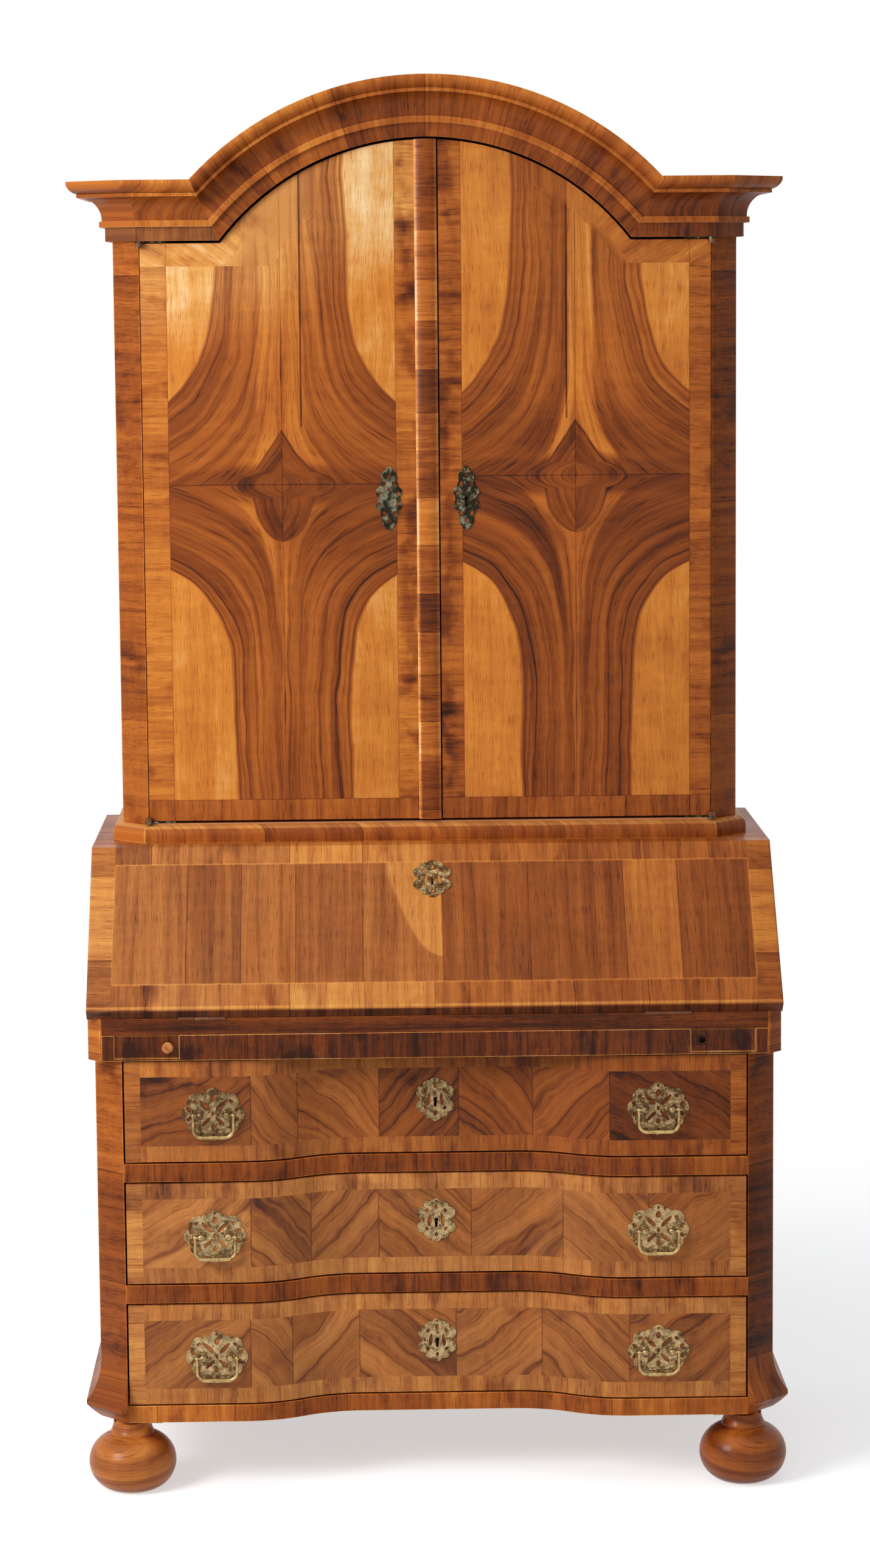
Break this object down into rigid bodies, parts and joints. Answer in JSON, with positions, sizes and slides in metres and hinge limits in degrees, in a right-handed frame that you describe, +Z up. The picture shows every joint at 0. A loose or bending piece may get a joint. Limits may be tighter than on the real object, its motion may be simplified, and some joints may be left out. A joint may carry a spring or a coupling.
{
  "type": "bureau cabinet",
  "caption": "Slant-front bureau cabinet: hollow-fronted chest of drawers on bun feet, hinged writing fall on lopers, two-door cabinet under an arched cornice.",
  "frame": {"origin": "centre of the footprint, on the floor", "axes": "+Z up, -Y to the front, +X to the right of the viewer"},
  "size_m": [1.124, 0.592, 2.1989],
  "materials": {
    "walnut_veneer": "polished figured walnut veneer",
    "walnut_crossband": "polished cross-grain walnut veneer",
    "walnut_turned": "turned and polished walnut",
    "plain_pine": "plain aged softwood",
    "brass": "worn old brass",
    "dark_brass": "darkened old brass"
  },
  "bodies": {
    "case": {"back_boards": "plain_pine", "base_frame": "walnut_crossband", "base_moulding_left": "walnut_crossband", "base_moulding_right": "walnut_crossband", "bun_feet": "walnut_turned", "cabinet_back": "plain_pine", "cabinet_base_moulding": "walnut_crossband", "cabinet_bottom": "plain_pine", "cabinet_posts": "walnut_veneer", "cabinet_roof": "plain_pine", "cabinet_shelves": "plain_pine", "cabinet_side_left": "walnut_veneer", "cabinet_side_right": "walnut_veneer", "case_pivots": "dark_brass", "commode_bottom": "plain_pine", "commode_posts": "walnut_veneer", "commode_side_left": "walnut_veneer", "commode_side_right": "walnut_veneer", "commode_top": "plain_pine", "cornice_arch": "walnut_crossband", "cornice_runs": "walnut_crossband", "desk_side_left": "walnut_veneer", "desk_side_right": "walnut_veneer", "desk_top": "walnut_veneer", "drawer_dividers": "walnut_crossband", "drawer_guides": "plain_pine", "frieze_rail": "walnut_veneer", "loper_channels": "plain_pine", "pediment_board": "plain_pine", "pigeonholes": "walnut_veneer", "writing_board": "walnut_veneer", "writing_board_hinges": "brass"},
    "door_left": {"door_left": "walnut_veneer", "astragal": "walnut_crossband", "door_left_brasses": "dark_brass"},
    "door_right": {"door_right": "walnut_veneer", "door_right_brasses": "dark_brass"},
    "fall": {"fall_panel": "walnut_veneer", "fall_brasses": "brass"},
    "loper_left": {"loper_left": "walnut_veneer", "loper_knob": "walnut_turned"},
    "loper_right": {"loper_right": "walnut_veneer"},
    "drawer_1": {"drawer_1_front": "walnut_veneer", "drawer_1_box": "plain_pine", "drawer_1_brasses": "brass"},
    "bail_1_left": {"drawer_1_bail_left": "brass"},
    "bail_1_right": {"drawer_1_bail_right": "brass"},
    "drawer_2": {"drawer_2_front": "walnut_veneer", "drawer_2_box": "plain_pine", "drawer_2_brasses": "brass"},
    "bail_2_left": {"drawer_2_bail_left": "brass"},
    "bail_2_right": {"drawer_2_bail_right": "brass"},
    "drawer_3": {"drawer_3_front": "walnut_veneer", "drawer_3_box": "plain_pine", "drawer_3_brasses": "brass"},
    "bail_3_left": {"drawer_3_bail_left": "brass"},
    "bail_3_right": {"drawer_3_bail_right": "brass"},
    "small_drawer_1": {"small_drawer_1": "walnut_veneer"},
    "small_drawer_2": {"small_drawer_2": "walnut_veneer"},
    "small_drawer_3": {"small_drawer_3": "walnut_veneer"}
  },
  "joints": [
    {"name": "door_left_hinge", "type": "hinge", "parent": "case", "child": "door_left", "pos_m": [-0.4485, -0.04522, 1.0325], "axis": [0, 0, -1], "range_deg": [0, 115]},
    {"name": "door_right_hinge", "type": "hinge", "parent": "case", "child": "door_right", "pos_m": [0.4485, -0.04522, 1.0325], "axis": [0, 0, 1], "range_deg": [0, 115]},
    {"name": "fall_hinge", "type": "hinge", "parent": "case", "child": "fall", "pos_m": [0, -0.28, 0.759], "axis": [1, 0, 0], "range_deg": [0, 132.7]},
    {"name": "loper_left_slide", "type": "slide", "parent": "case", "child": "loper_left", "axis": [0, -1, 0], "range_m": [0, 0.29]},
    {"name": "loper_right_slide", "type": "slide", "parent": "case", "child": "loper_right", "axis": [0, -1, 0], "range_m": [0, 0.29]},
    {"name": "drawer_1_slide", "type": "slide", "parent": "case", "child": "drawer_1", "axis": [0, -1, 0], "range_m": [0, 0.38]},
    {"name": "bail_1_left_swing", "type": "hinge", "parent": "drawer_1", "child": "bail_1_left", "pos_m": [-0.345, -0.285, 0.607], "axis": [-1, 0, 0], "range_deg": [0, 95]},
    {"name": "bail_1_right_swing", "type": "hinge", "parent": "drawer_1", "child": "bail_1_right", "pos_m": [0.345, -0.285, 0.607], "axis": [-1, 0, 0], "range_deg": [0, 95]},
    {"name": "drawer_2_slide", "type": "slide", "parent": "case", "child": "drawer_2", "axis": [0, -1, 0], "range_m": [0, 0.38]},
    {"name": "bail_2_left_swing", "type": "hinge", "parent": "drawer_2", "child": "bail_2_left", "pos_m": [-0.345, -0.285, 0.414], "axis": [-1, 0, 0], "range_deg": [0, 95]},
    {"name": "bail_2_right_swing", "type": "hinge", "parent": "drawer_2", "child": "bail_2_right", "pos_m": [0.345, -0.285, 0.414], "axis": [-1, 0, 0], "range_deg": [0, 95]},
    {"name": "drawer_3_slide", "type": "slide", "parent": "case", "child": "drawer_3", "axis": [0, -1, 0], "range_m": [0, 0.38]},
    {"name": "bail_3_left_swing", "type": "hinge", "parent": "drawer_3", "child": "bail_3_left", "pos_m": [-0.345, -0.285, 0.221], "axis": [-1, 0, 0], "range_deg": [0, 95]},
    {"name": "bail_3_right_swing", "type": "hinge", "parent": "drawer_3", "child": "bail_3_right", "pos_m": [0.345, -0.285, 0.221], "axis": [-1, 0, 0], "range_deg": [0, 95]},
    {"name": "small_drawer_1_slide", "type": "slide", "parent": "case", "child": "small_drawer_1", "axis": [0, -1, 0], "range_m": [0, 0.15]},
    {"name": "small_drawer_2_slide", "type": "slide", "parent": "case", "child": "small_drawer_2", "axis": [0, -1, 0], "range_m": [0, 0.15]},
    {"name": "small_drawer_3_slide", "type": "slide", "parent": "case", "child": "small_drawer_3", "axis": [0, -1, 0], "range_m": [0, 0.15]}
  ]
}
